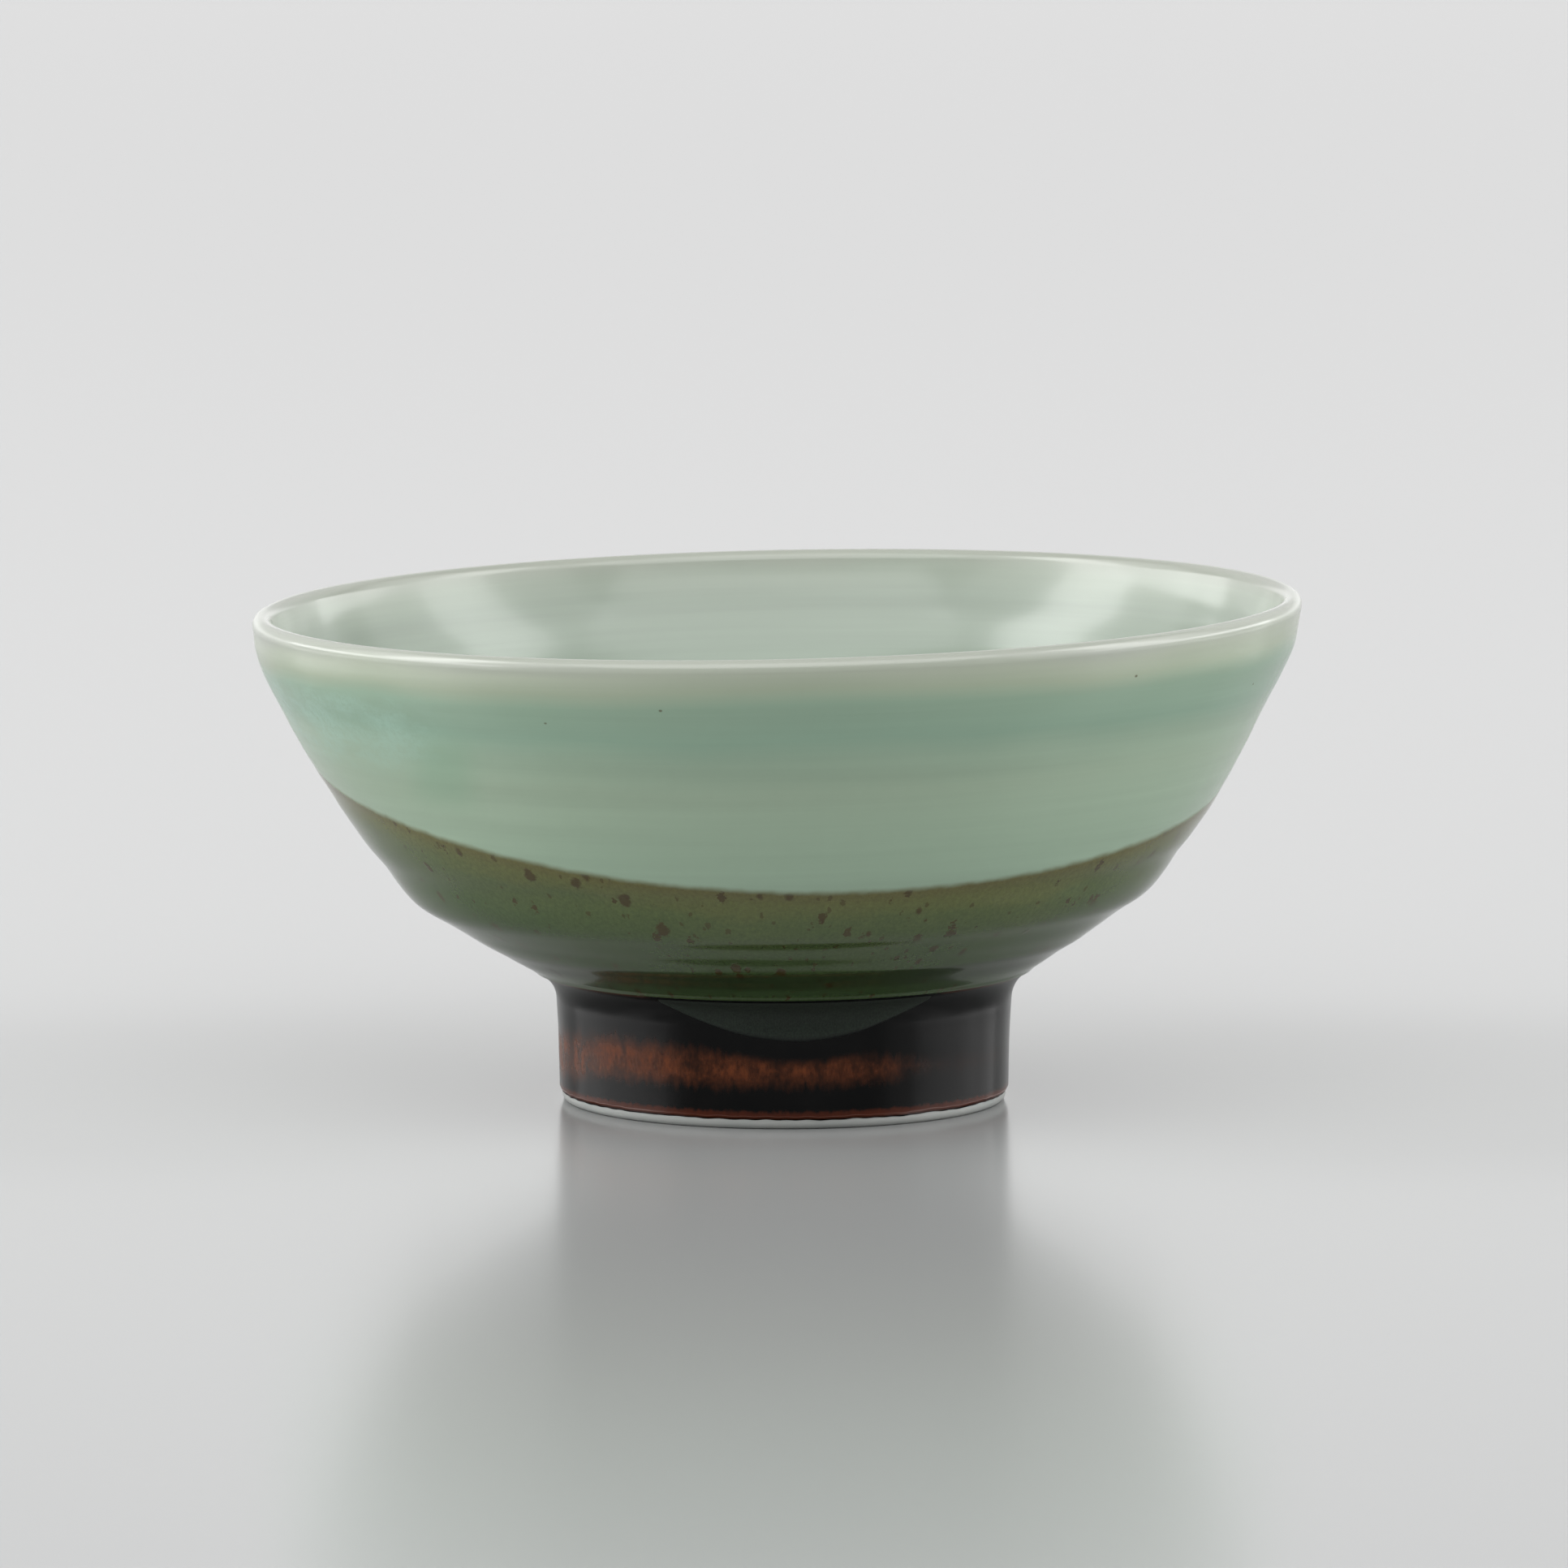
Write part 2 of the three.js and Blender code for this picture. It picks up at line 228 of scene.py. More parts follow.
def run_edge_level(turn):
    """Lower edge of the celadon run on the foot; beyond the run it climbs out of the way."""
    across = (np.abs(np.angle(np.exp(1j * (turn - RUN_MIDDLE)))) / RUN_HALF_ANGLE) ** 2
    return RUN_TOP - RUN_LENGTH + (RUN_LENGTH - RUN_END_LENGTH) * across


RUN_TOP = level_at(S_CREASE) - 0.3


# ---- relief -------------------------------------------------------------------------------------------


def bump(x, middle, width):
    return np.exp(-(((x - middle) / width) ** 2))


def smooth(x, start, end):
    t = np.clip((x - start) / (end - start), 0, 1)
    return t * t * (3 - 2 * t)


def waves(s, turn, seed, count=7, longest=40.0, shortest=5.0, most_turns=6):
    """Gentle lumps from a few seeded waves, about -1 to 1."""
    rng = np.random.default_rng(seed)
    total = 0
    for _ in range(count):
        k = 2 * math.pi / rng.uniform(shortest, longest)
        m, phase = int(rng.integers(0, most_turns + 1)), rng.uniform(0, 2 * math.pi)
        total = total + np.sin(k * s + m * turn + phase)
    return total / math.sqrt(count)


def throwing(s, turn, wavelength, sway=0.6, seed=3):
    """The spiral the thrower's fingers leave, -1 to 1."""
    return np.sin(2 * math.pi * s / wavelength + turn + sway * waves(s, turn, seed))


def clay_relief(s, turn):
    """How far the thrown and turned clay stands proud of the plain form, in mm."""
    level = level_at(s)
    outside = 1 - smooth(s, S_LIP - 2.5, S_LIP)
    left = np.clip(-np.sin(turn), 0, 1) ** 1.5
    right = np.clip(np.sin(turn), 0, 1) ** 1.5
    turned = -0.2 * bump(level, 30.4, 1.7) - 0.32 * bump(level, 23.6, 1.7) + 0.1 * bump(level, 20.2, 0.9)
    uneven = left * (0.4 * bump(level, 56, 4) + 0.2 * bump(level, 46, 4))
    uneven = uneven + right * (0.25 * bump(level, 55.5, 2.5) - 0.25 * bump(level, 48.5, 3))
    return outside * smooth(s, S_CREASE, S_CREASE + 4) * (turned + uneven)


def glaze_relief(s, turn):
    """How far the glaze's surface stands proud of its plain form, in mm."""
    level = level_at(s)
    outside = smooth(s, S_CREASE, S_CREASE + 3) * (1 - smooth(s, S_LIP - 2, S_LIP))
    inside = smooth(s, S_LIP_END, S_LIP_END + 6) * (1 - smooth(s, S_FLOOR - 8, S_FLOOR - 2))
    rings = outside * (0.012 * throwing(s, turn, 4.6) + 0.02 * waves(s, turn, 11, longest=22))
    step = 0.05 * (1 - smooth(level - iron_level(turn), -0.7, 0.7))
    bead = 0.16 * bump(s, S_CREASE + 0.35, 0.5) * smooth(s, S_CREASE - 0.01, S_CREASE + 0.2)
    spiral = inside * (0.018 * throwing(s, turn, 5.5, seed=5) + 0.02 * waves(s, turn, 12))
    foot = 0.012 * waves(s, turn, 13, shortest=2.5, longest=12) * (1 - smooth(s, S_RING, S_CREASE))
    return rings + outside * step + bead + spiral + foot


def settle(points):
    """Leans the bowl over its foot."""
    x, y, z = np.moveaxis(points, -1, 0)
    share = smooth(z, LEAN_START, LEAN_START + LEAN_LENGTH)
    angle = -LEAN * share
    leaned = x * np.cos(angle) + z * np.sin(angle) + BOWL_SHIFT * share + AXIS_X
    return np.stack([leaned, y, z * np.cos(angle) - x * np.sin(angle)], -1)


def place(radius, level, turn):
    return settle(np.stack([radius * np.sin(turn), -radius * np.cos(turn), level + 0 * turn], -1))


def skin_points(s, turn, depth, glazed):
    relief = clay_relief(s, turn) + (glaze_relief(s, turn) if glazed else 0)
    radius = np.interp(s, ARC, SKIN[:, 0]) + np.interp(s, ARC, INWARD[:, 0]) * (depth - relief)
    level = np.interp(s, ARC, SKIN[:, 1]) + np.interp(s, ARC, INWARD[:, 1]) * (depth - relief)
    return place(np.maximum(radius, 0), level, turn)


# ---- meshes -------------------------------------------------------------------------------------------


def strip(points, normals=None, **values):
    """One smooth run of a section for every column: points, normals, and values for the materials."""
    return {"points": points, "normals": normals, "values": values}


def skin_strip(first, last, depth, glazed=True, shape=None, rows=None, back=False):
    """The skin from one arc length to another at a depth. Ends and depth may change with the turn.
    shape gives more depth at a distance from the start. back turns it round to face inward."""
    turn = TURNS[:, None]
    first, last = np.broadcast_to(first, COLUMNS), np.broadcast_to(last, COLUMNS)
    rows = rows or max(2, int(np.max(last - first) / ROW_STEP) + 2)
    share = np.linspace(0, 1, rows)[None, :]
    s = first[:, None] + (last - first)[:, None] * share
    extra = (lambda arc: shape(arc - first[:, None])) if shape else (lambda arc: 0)

    def at(arc, angle):
        return skin_points(arc, angle, depth + extra(arc), glazed)

    points, d_s, d_turn = at(s, turn), 0.02, 1e-4
    up = at(np.minimum(s + d_s, S_FLOOR), turn) - at(np.maximum(s - d_s, 0), turn)
    normals = np.cross(at(s, turn + d_turn) - at(s, turn - d_turn), up)
    length = np.linalg.norm(normals, axis=-1, keepdims=True)
    normals = np.where(length > 1e-9, normals / np.maximum(length, 1e-9), [0, 0, 1.0])
    level = level_at(s)
    values = {
        "level": level,
        "over_line": level - iron_level(turn),
        "from_crease": s - S_CREASE,
        "from_run": run_edge_level(turn) - level,
        "arc": s,
    }
    if back:
        points, normals = points[:, ::-1], -normals[:, ::-1]
        values = {k: v[:, ::-1] for k, v in values.items()}
    return strip(points, normals, **values)


def section_strip(section, spread=None):
    """A section with one shape all round, as a strip with its own smooth normals."""
    section = np.asarray(section, float)
    radius, level = section.T[:, None, :]
    turn = TURNS[:, None]
    shift = spread(turn, radius, level) if spread else 0
    points = place(radius + 0 * turn, level + shift, turn)
    along = np.gradient(points, axis=1)
    round_ = np.roll(points, -1, 0) - np.roll(points, 1, 0)
    normals = np.cross(round_, along)
    length = np.linalg.norm(normals, axis=-1, keepdims=True)
    up = np.sign(section[-1, 0] - section[0, 0]) * np.array([0, 0, -1.0])
    normals = np.where(length > 1e-9, normals / np.maximum(length, 1e-9), up)
    shape = points.shape[:2]
    return strip(points, normals, level=np.broadcast_to(level, shape), arc=np.broadcast_to(radius, shape))


def turned_mesh(name, strips, on_axis=False):
    """Closes strips into one mesh, with flat walls between them. With on_axis, the first and the last
    point of the section are on the axis; otherwise the section closes on itself."""
    points = np.concatenate([st["points"] for st in strips], 1)
    normals = np.concatenate([st["normals"] for st in strips], 1)
    columns, rows = points.shape[:2]
    keys = sorted(set().union(*(st["values"] for st in strips)))
    values = {}
    for key in keys:
        parts = [st["values"].get(key, np.zeros(st["points"].shape[:2])) for st in strips]
        values[key] = np.concatenate([np.broadcast_to(p, (columns, p.shape[1])) for p in parts], 1)
    ends = np.cumsum([st["points"].shape[1] for st in strips])
    walls = {end - 1 for end in ends[:-1]} | (set() if on_axis else {rows - 1})
    index = np.arange(columns * rows).reshape(columns, rows)
    if on_axis:
        index[:, 0], index[:, -1] = index[0, 0], index[0, -1]
    following = np.roll(index, -1, 0)
    faces, smooth_faces = [], []
    for m in range(rows if not on_axis else rows - 1):
        n = (m + 1) % rows
        quad = np.stack([index[:, m], following[:, m], following[:, n], index[:, n]], -1)
        if on_axis and m == 0:
            quad = quad[:, [0, 2, 3]]
        elif on_axis and n == rows - 1:
            quad = quad[:, [0, 1, 2]]
        faces.extend(map(tuple, quad.tolist()))
        smooth_faces.extend([m not in walls] * columns)
    values["unrolled"] = unroll(TURNS[:, None], values["arc"])
    flat_points, flat_normals = points.reshape(-1, 3) * MM, normals.reshape(-1, 3)
    return make_object(name, flat_points, faces, smooth_faces, flat_normals, values)


def unroll(turn, arc):
    """The skin rolled on a cylinder: a place for textures with no seam and no stretch by radius."""
    x, y = UNROLLED_RADIUS * np.sin(turn), -UNROLLED_RADIUS * np.cos(turn)
    return np.stack(np.broadcast_arrays(x, y, arc), -1)


def make_object(name, points, faces, smooth_faces, normals, values):
    """A mesh object with its own normals on smooth faces, and values for the materials on its points."""
    used, compact = np.unique(np.concatenate([np.array(f) for f in faces]), return_inverse=True)
    cursor, packed = 0, []
    for face in faces:
        packed.append(tuple(compact[cursor : cursor + len(face)]))
        cursor += len(face)
    mesh = bpy.data.meshes.new(name)
    mesh.from_pydata(points[used].tolist(), [], packed)
    mesh.polygons.foreach_set("use_smooth", smooth_faces)
    for key, value in values.items():
        vector = key == "unrolled"
        attribute = mesh.attributes.new(key, "FLOAT_VECTOR" if vector else "FLOAT", "POINT")
        rows = value.reshape(-1, 3 if vector else 1)[used].astype(np.float32)
        attribute.data.foreach_set("vector" if vector else "value", rows.reshape(-1))
    loops = []
    for face, is_smooth in zip(faces, smooth_faces):
        loops.extend(normals[v].tolist() if is_smooth else (0, 0, 0) for v in face)
    mesh.normals_split_custom_set(loops)
    mesh.update()
    obj = bpy.data.objects.new(name, mesh)
    bpy.context.scene.collection.objects.link(obj)
    return obj


# ---- pieces -------------------------------------------------------------------------------------------

EDGE_DROP = 0.17  # the iron glaze's lower edge hangs this far below the bare line, in mm
EDGE_WANDER = 0.05
UNDER_GAP = 0.04  # celadon to the iron glaze under it
CREASE_GAP = 0.02  # iron glaze on the foot to the celadon's edge at the crease
END_GAP = 0.05  # the cut end of a coat to the next coat
NOSE = 0.3  # radius of the iron glaze's lower edge
SEAT_RADIUS = 26.0  # the bowl's underside within the foot ring
TURNING_PITCH, TURNING_DEPTH = 2.4, 0.05  # the spiral in the recess
RUN_COLUMNS, RUN_ROWS = 120, 26
RUN_GAP = 0.012  # the run to the iron glaze under it
RUN_LIFT = 0.02

S_IRON = arc_at_level(iron_level(TURNS))
RAGGED = EDGE_WANDER * waves(0 * TURNS, TURNS, 21, most_turns=80, count=20)
S_EDGE = S_BARE - EDGE_DROP + RAGGED
FRONT_OF_COAT = OVERLAP_THICKNESS + UNDER_GAP
BACK = CLAY_DEPTH - COAT_GAP


def nose(distance):
    """More depth near the coat's lower edge, so that it is rounded."""
    t = np.clip(1 - distance / NOSE, 0, 1)
    return NOSE * (1 - np.sqrt(1 - t * t))


def coat(name, first, last):
    """A coat straight on the porcelain, between two arc lengths."""
    front = skin_strip(first, last, 0)
    behind = skin_strip(first, last, BACK, glazed=False, back=True)
    return turned_mesh(name, [front, behind])


def inner_coat():
    """The inner coat reaches the axis, front and back."""
    front = skin_strip(S_BAND_IN, S_FLOOR, 0)
    behind = skin_strip(S_BAND_IN, S_FLOOR, BACK, glazed=False, back=True)
    return turned_mesh("inner_celadon", [behind, front], on_axis=True)


def build_body():
    """The thrown bowl: flat where it sits on the ring, then the skin at the porcelain's depth."""
    bottom = section_strip([(r, RING_HEIGHT) for r in (0, 12, SEAT_RADIUS)])
    skin = skin_strip(S_RING, S_FLOOR, CLAY_DEPTH, glazed=False)
    return turned_mesh("porcelain_body", [bottom, skin], on_axis=True)


def quarter(centre, radius, start, count=7):
    """A quarter round on the plane that the bowl stands on."""
    angles = np.linspace(start, start + math.pi / 2, count)
    return [(centre + radius * math.cos(a), radius + radius * math.sin(a)) for a in angles]


def recess_radius(level):
    inner = FOOT_RADIUS - BARE_STEP - BARE_EDGE_RADIUS - RING_WIDTH - INNER_EDGE_RADIUS
    return inner - RING_INNER_DRAFT * level / RING_HEIGHT


def build_ring():
    """The foot ring: its recess, its flat foot with round edges, the bare band, and the glazed wall."""
    top = RING_HEIGHT - COAT_GAP
    bare = FOOT_RADIUS - BARE_STEP
    levels = np.linspace(top, 0.9, 9)
    inside = [(recess_radius(level), level) for level in levels]
    inside += quarter(recess_radius(0) + INNER_EDGE_RADIUS, INNER_EDGE_RADIUS, math.pi)
    flat = np.linspace(inside[-1][0] + 0.15, bare - BARE_EDGE_RADIUS - 0.15, 6)
    outside = quarter(bare - BARE_EDGE_RADIUS, BARE_EDGE_RADIUS, -math.pi / 2, 9)
    foot_strip = section_strip(inside + [(r, 0) for r in flat] + outside)
    edge_level = (level_at(S_EDGE) + 0.02)[:, None]
    turn = TURNS[:, None]
    band_level = BARE_EDGE_RADIUS + 0.05 + (edge_level - BARE_EDGE_RADIUS - 0.05) * np.linspace(0, 1, 4)
    band = place(bare + 0 * band_level, band_level, turn)
    out = np.stack([np.sin(turn), -np.cos(turn), 0 * turn], -1) + 0 * band
    wall = skin_strip(S_EDGE, S_RING - 0.1, CLAY_DEPTH, glazed=False)
    return turned_mesh("foot_ring_porcelain", [foot_strip, strip(band, out, level=band_level), wall])


def build_iron_coat():
    """Bare on the foot, and under the celadon from the crease to the iron line."""
    on_foot = skin_strip(S_EDGE, S_CREASE - CREASE_GAP, 0, shape=nose, rows=26)
    under = skin_strip(S_CREASE + END_GAP, S_IRON - END_GAP, FRONT_OF_COAT, glazed=False)
    behind = skin_strip(S_EDGE, S_IRON - END_GAP, BACK, glazed=False, back=True)
    return turned_mesh("iron_glaze", [on_foot, under, behind])


def build_overlap():
    front = skin_strip(S_CREASE, S_IRON, 0)
    behind = skin_strip(S_CREASE, S_IRON, OVERLAP_THICKNESS, glazed=False, back=True)
    return turned_mesh("celadon_over_iron_glaze", [front, behind])


def build_well():
    """The coat in the recess: a flat ceiling, a round corner and a wall that stops above the foot."""
    top = RING_HEIGHT - COAT_GAP
    ceiling = top - WELL_THICKNESS

    def face(level):
        return recess_radius(level) - COAT_GAP - WELL_THICKNESS

    corner = bezier(
        [face(ceiling) - WELL_CORNER_RADIUS, ceiling],
        [face(ceiling), ceiling],
        [face(ceiling - WELL_CORNER_RADIUS), ceiling - WELL_CORNER_RADIUS],
    )(np.linspace(0, 1, 12))
    dome = [(r, ceiling) for r in np.linspace(0, corner[0][0], 34)[:-1]]
    wall = [(face(z), z) for z in np.linspace(ceiling - WELL_CORNER_RADIUS, WELL_BARE_HEIGHT, 10)[1:]]
    back = [(recess_radius(level) - COAT_GAP, level) for level in (WELL_BARE_HEIGHT, 6, top)]

    def turning(turn, radius, level):
        """The spiral left by the turning tool, fading at the middle and on the wall."""
        fade = smooth(radius, 1.5, 5) * smooth(level, ceiling - 1.5, ceiling - 0.2)
        return -TURNING_DEPTH * fade * (1 + np.sin(2 * math.pi * radius / TURNING_PITCH + turn))

    front = section_strip([*dome, *corner, *wall], spread=turning)
    behind = section_strip(back)
    lid = section_strip([(recess_radius(top) - 0.3, top), (9, top), (0, top)])
    return turned_mesh("foot_well_iron_glaze", [front, behind, lid], on_axis=True)


def build_run():
    """The run is a thin lens of glaze, thickest low down where it gathered."""
    a = np.linspace(-1, 1, RUN_COLUMNS)[:, None]
    d = np.linspace(0, 1, RUN_ROWS)[None, :]
    turn = RUN_MIDDLE + a * RUN_HALF_ANGLE
    bottom = run_edge_level(turn) + 0.04 * waves(0 * turn, turn, 31, most_turns=24)
    level = RUN_TOP + (bottom - RUN_TOP) * d
    s = arc_at_level(level)
    edge = np.clip(1 - a**6, 0, 1) ** 0.5 * np.clip(1 - (2 * d - 1) ** 8, 0, 1) ** 0.5
    thickness = RUN_THICKNESS * edge * (0.55 + 0.45 * smooth(d, 0.2, 0.9))
    front = skin_points(s, turn, -RUN_LIFT - thickness, True)
    behind = skin_points(s, turn, -RUN_GAP + 0 * thickness, True)
    values = {"level": level, "down": d + 0 * a, "unrolled": unroll(turn, s)}
    return shell_patch("celadon_run_glaze", front, behind, values)


def shell_patch(name, front, behind, values):
    """A thin closed patch from two grids of points that meet at their borders."""
    across, down = front.shape[:2]
    count = across * down
    index = np.arange(count).reshape(across, down)
    a, b, c, d = index[:-1, :-1], index[1:, :-1], index[1:, 1:], index[:-1, 1:]
    faces = np.stack([a, d, c, b], -1).reshape(-1, 4).tolist()
    faces += (np.stack([a, b, c, d], -1).reshape(-1, 4) + count).tolist()
    smooth_count = len(faces)
    border = [index[:, 0], index[-1, :], index[::-1, -1], index[0, ::-1]]
    for line in border:
        for i, j in zip(line, line[1:]):
            faces.append([i, j, j + count, i + count])
    points = np.concatenate([front.reshape(-1, 3), behind.reshape(-1, 3)]) * MM
    smooth_faces = [n < smooth_count for n in range(len(faces))]
    normal = np.cross(np.gradient(front, axis=0), -np.gradient(front, axis=1))
    normal /= np.linalg.norm(normal, axis=-1, keepdims=True)
    normals = np.concatenate([normal.reshape(-1, 3), -normal.reshape(-1, 3)])
    doubled = {k: np.concatenate([v, v]) for k, v in values.items()}
    return make_object(name, points, [tuple(f) for f in faces], smooth_faces, normals, doubled)


# ---- materials ----------------------------------------------------------------------------------------


class Shader:
    """A material's node tree, with short calls for the nodes used here."""

    def __init__(self, name):
        self.material = bpy.data.materials.new(name)
        self.material.use_nodes = True
        self.tree = self.material.node_tree
        self.surface = self.tree.nodes["Principled BSDF"]

    def node(self, kind, inputs=(), **settings):
        node = self.tree.nodes.new(kind)
        for key, value in settings.items():
            setattr(node, key, value)
        for key, value in dict(inputs).items():
            if isinstance(value, bpy.types.NodeSocket):
                self.tree.links.new(value, node.inputs[key])
            elif value is not None:
                node.inputs[key].default_value = value
        return node

    def value(self, name):
        return self.node("ShaderNodeAttribute", attribute_name=name).outputs["Fac"]

    def position(self, stretch=(1, 1, 1)):
        """Position in mm, with each axis stretched."""
        where = self.node("ShaderNodeTexCoord").outputs["Object"]
        scale = tuple(s / MM for s in stretch)
        return self.node("ShaderNodeMapping", {"Vector": where, "Scale": scale}).outputs["Vector"]

    def unrolled(self, stretch=(1, 1, 1)):
        """The unrolled place in mm, with each axis stretched; the third axis runs along the skin."""
        where = self.node("ShaderNodeAttribute", attribute_name="unrolled").outputs["Vector"]
        return self.node("ShaderNodeMapping", {"Vector": where, "Scale": stretch}).outputs["Vector"]

    def noise(self, size, stretch=(1, 1, 1), detail=3.0, rough=0.55, on_skin=True):
        where = self.unrolled(stretch) if on_skin else self.position(stretch)
        inputs = {"Vector": where, "Scale": 1 / size, "Detail": detail, "Roughness": rough}
        return self.node("ShaderNodeTexNoise", inputs).outputs["Fac"]

    def cells(self, size, stretch=(1, 1, 1), on_skin=True):
        where = self.unrolled(stretch) if on_skin else self.position(stretch)
        return self.node("ShaderNodeTexVoronoi", {"Vector": where, "Scale": 1 / size})

    def math(self, operation, a, b=None, c=None):
        inputs = {k: v for k, v in enumerate((a, b, c)) if v is not None}
        return self.node("ShaderNodeMath", inputs, operation=operation).outputs[0]

    def product(self, first, *others):
        for other in others:
            first = self.math("MULTIPLY", first, other)
        return first

    def dice(self, cells):
        """Three random numbers for each cell: Red, Green and Blue."""
        return self.node("ShaderNodeSeparateColor", {"Color": cells.outputs["Color"]}).outputs

    def x(self):
        """How far to the right, in mm."""
        return self.node("ShaderNodeSeparateXYZ", {"Vector": self.position()}).outputs["X"]

    def span(self, value, start, end, low=0.0, high=1.0, kind="SMOOTHSTEP"):
        """Takes a value from start..end to low..high, held at both ends."""
        inputs = {"Value": value, "From Min": start, "From Max": end, "To Min": low, "To Max": high}
        return self.node("ShaderNodeMapRange", inputs, interpolation_type=kind).outputs["Result"]

    def ramp(self, value, stops, kind="LINEAR"):
        """A colour for each place in stops, a list of (place, colour)."""
        first, last = stops[0][0], stops[-1][0]
        node = self.node(
            "ShaderNodeValToRGB", {"Fac": self.span(value, first, last, kind="LINEAR")}
        )
        ramp = node.color_ramp
        ramp.interpolation = kind
        while len(ramp.elements) < len(stops):
            ramp.elements.new(0.5)
        for element, (place_, colour) in zip(ramp.elements, stops):
            element.position = (place_ - first) / (last - first)
        for element, (place_, colour) in zip(ramp.elements, stops):
            grey = not hasattr(colour, "__len__")
            element.color = (colour,) * 3 + (1,) if grey else (*colour, 1)
        return node.outputs["Color"]

    def mix(self, share, a, b, blend="MIX"):
        colours = [c if isinstance(c, bpy.types.NodeSocket) else (*c, 1) for c in (a, b)]
        node = self.tree.nodes.new("ShaderNodeMix")
        node.data_type, node.blend_type = "RGBA", blend
        for socket, value in zip((node.inputs[0], node.inputs[6], node.inputs[7]), (share, *colours)):
            if isinstance(value, bpy.types.NodeSocket):
                self.tree.links.new(value, socket)
            else:
                socket.default_value = value
        return node.outputs[2]

    def shade(self, colour, factor):
        """A colour made lighter or darker by a factor."""
        node = self.node("ShaderNodeVectorMath", {0: colour, "Scale": factor}, operation="SCALE")
        return node.outputs["Vector"]

    def finish(self, colour, roughness, bumps=(), **constants):
        """bumps is a list of (height socket, height in mm, strength)."""
        self.tree.links.new(colour, self.surface.inputs["Base Color"])
        if isinstance(roughness, bpy.types.NodeSocket):
            self.tree.links.new(roughness, self.surface.inputs["Roughness"])
        else:
            self.surface.inputs["Roughness"].default_value = roughness
        normal = None
        for height, depth, strength in bumps:
            inputs = {"Height": height, "Distance": depth * MM, "Strength": strength, "Normal": normal}
            normal = self.node("ShaderNodeBump", inputs).outputs["Normal"]
        if normal:
            self.tree.links.new(normal, self.surface.inputs["Normal"])
        for key, value in constants.items():
            self.surface.inputs[key.replace("_", " ")].default_value = value
        return self.material


# Colours by height outside and inside, and by distance above the iron line, all in mm
CELADON_LEVELS = [
    (30.0, (0.402, 0.540, 0.413)),
    (36.0, (0.402, 0.534, 0.402)),
    (45.0, (0.396, 0.507, 0.380)),
    (49.0, (0.363, 0.485, 0.365)),
    (51.5, (0.299, 0.436, 0.330)),
    (55.5, (0.306, 0.427, 0.321)),
    (57.5, (0.380, 0.441, 0.332)),
    (59.3, (0.440, 0.485, 0.390)),
    (60.8, (0.440, 0.465, 0.410)),
]
INSIDE_LEVELS = [
    (18.0, (0.265, 0.358, 0.284)),
    (40.0, (0.310, 0.377, 0.312)),
    (56.0, (0.340, 0.387, 0.331)),
    (59.0, (0.385, 0.425, 0.365)),
    (60.8, (0.405, 0.425, 0.375)),
]
OLIVE_BELOW_LINE = [
    (-14.0, (0.055, 0.096, 0.031)),
    (-9.0, (0.071, 0.114, 0.037)),
    (-4.0, (0.103, 0.139, 0.046)),
    (-1.6, (0.136, 0.150, 0.046)),
    (-0.4, (0.140, 0.132, 0.040)),
]
RUST_DARK, RUST_LIGHT = (0.075, 0.020, 0.008), (0.250, 0.072, 0.024)
IRON_BROWN = (0.062, 0.036, 0.004)


def fine_bumps(shader, size=0.6, height=0.008):
    return [(shader.noise(size, detail=2), height, 0.5), (shader.noise(5.0, detail=1), 0.05, 0.35)]


def celadon_colour(shader, level, levels):
    """Colour by height, with faint level throwing bands and very soft clouds."""
    bands = shader.noise(2.2, stretch=(0.03, 0.03, 1), detail=4, rough=0.6)
    clouds = shader.noise(14, stretch=(0.7, 0.7, 1), detail=1)
    drift = shader.span(clouds, 0.2, 0.8, -0.9, 0.9, kind="LINEAR")
    colour = shader.ramp(shader.math("ADD", level, drift), levels)
    light = shader.span(bands, 0.25, 0.75, 0.955, 1.045, kind="LINEAR")
    return shader.shade(colour, light)


def pin_specks(shader, spacing=5.0, size=0.22, kept=0.4):
    """Tiny dark specks, one in some of the cells of a loose grid."""
    cells = shader.cells(spacing)
    near = shader.span(cells.outputs["Distance"], size * 0.4 / spacing, size / spacing, 1, 0)
    return shader.product(near, shader.math("LESS_THAN", shader.dice(cells)["Red"], kept))


def over_line(shader):
    """Distance above the iron line, with the slightest unevenness, in mm."""
    wander = shader.span(shader.noise(2.4, detail=2), 0.2, 0.8, -0.16, 0.16, kind="LINEAR")
    return shader.math("ADD", shader.value("over_line"), wander)


def left_frost(shader, colour):
    """Milky, frosted glaze in a patch on the left of the wall, with a greener edge."""
    x, level = shader.x(), shader.value("level")
    patch = shader.product(shader.span(x, -37, -46), shader.span(level, 43, 50), shader.span(level, 57, 54))
    grain = shader.noise(0.9, detail=6, rough=0.75)
    cloudy = shader.noise(6, stretch=(1, 1, 1.8), detail=2)
    clumps, crystals = shader.span(cloudy, 0.3, 0.65, 0.15, 1), shader.span(grain, 0.3, 0.62, 0.25, 1)
    beside = shader.product(shader.span(x, -46, -41), shader.span(x, -34, -39))
    around = shader.product(shader.span(level, 40, 45), shader.span(level, 54, 48))
    colour = shader.mix(shader.product(beside, around, 0.4), colour, (0.27, 0.45, 0.31))
    return shader.mix(shader.product(patch, clumps, crystals, 0.5), colour, (0.40, 0.60, 0.50))


def celadon_finish(shader, colour):
    rough = shader.math("MULTIPLY_ADD", shader.noise(7, detail=2), 0.12, 0.18)
    gloss = {"IOR": 1.5, "Coat_Weight": 0.3, "Coat_Roughness": 0.12}
    return shader.finish(colour, rough, fine_bumps(shader), **gloss)


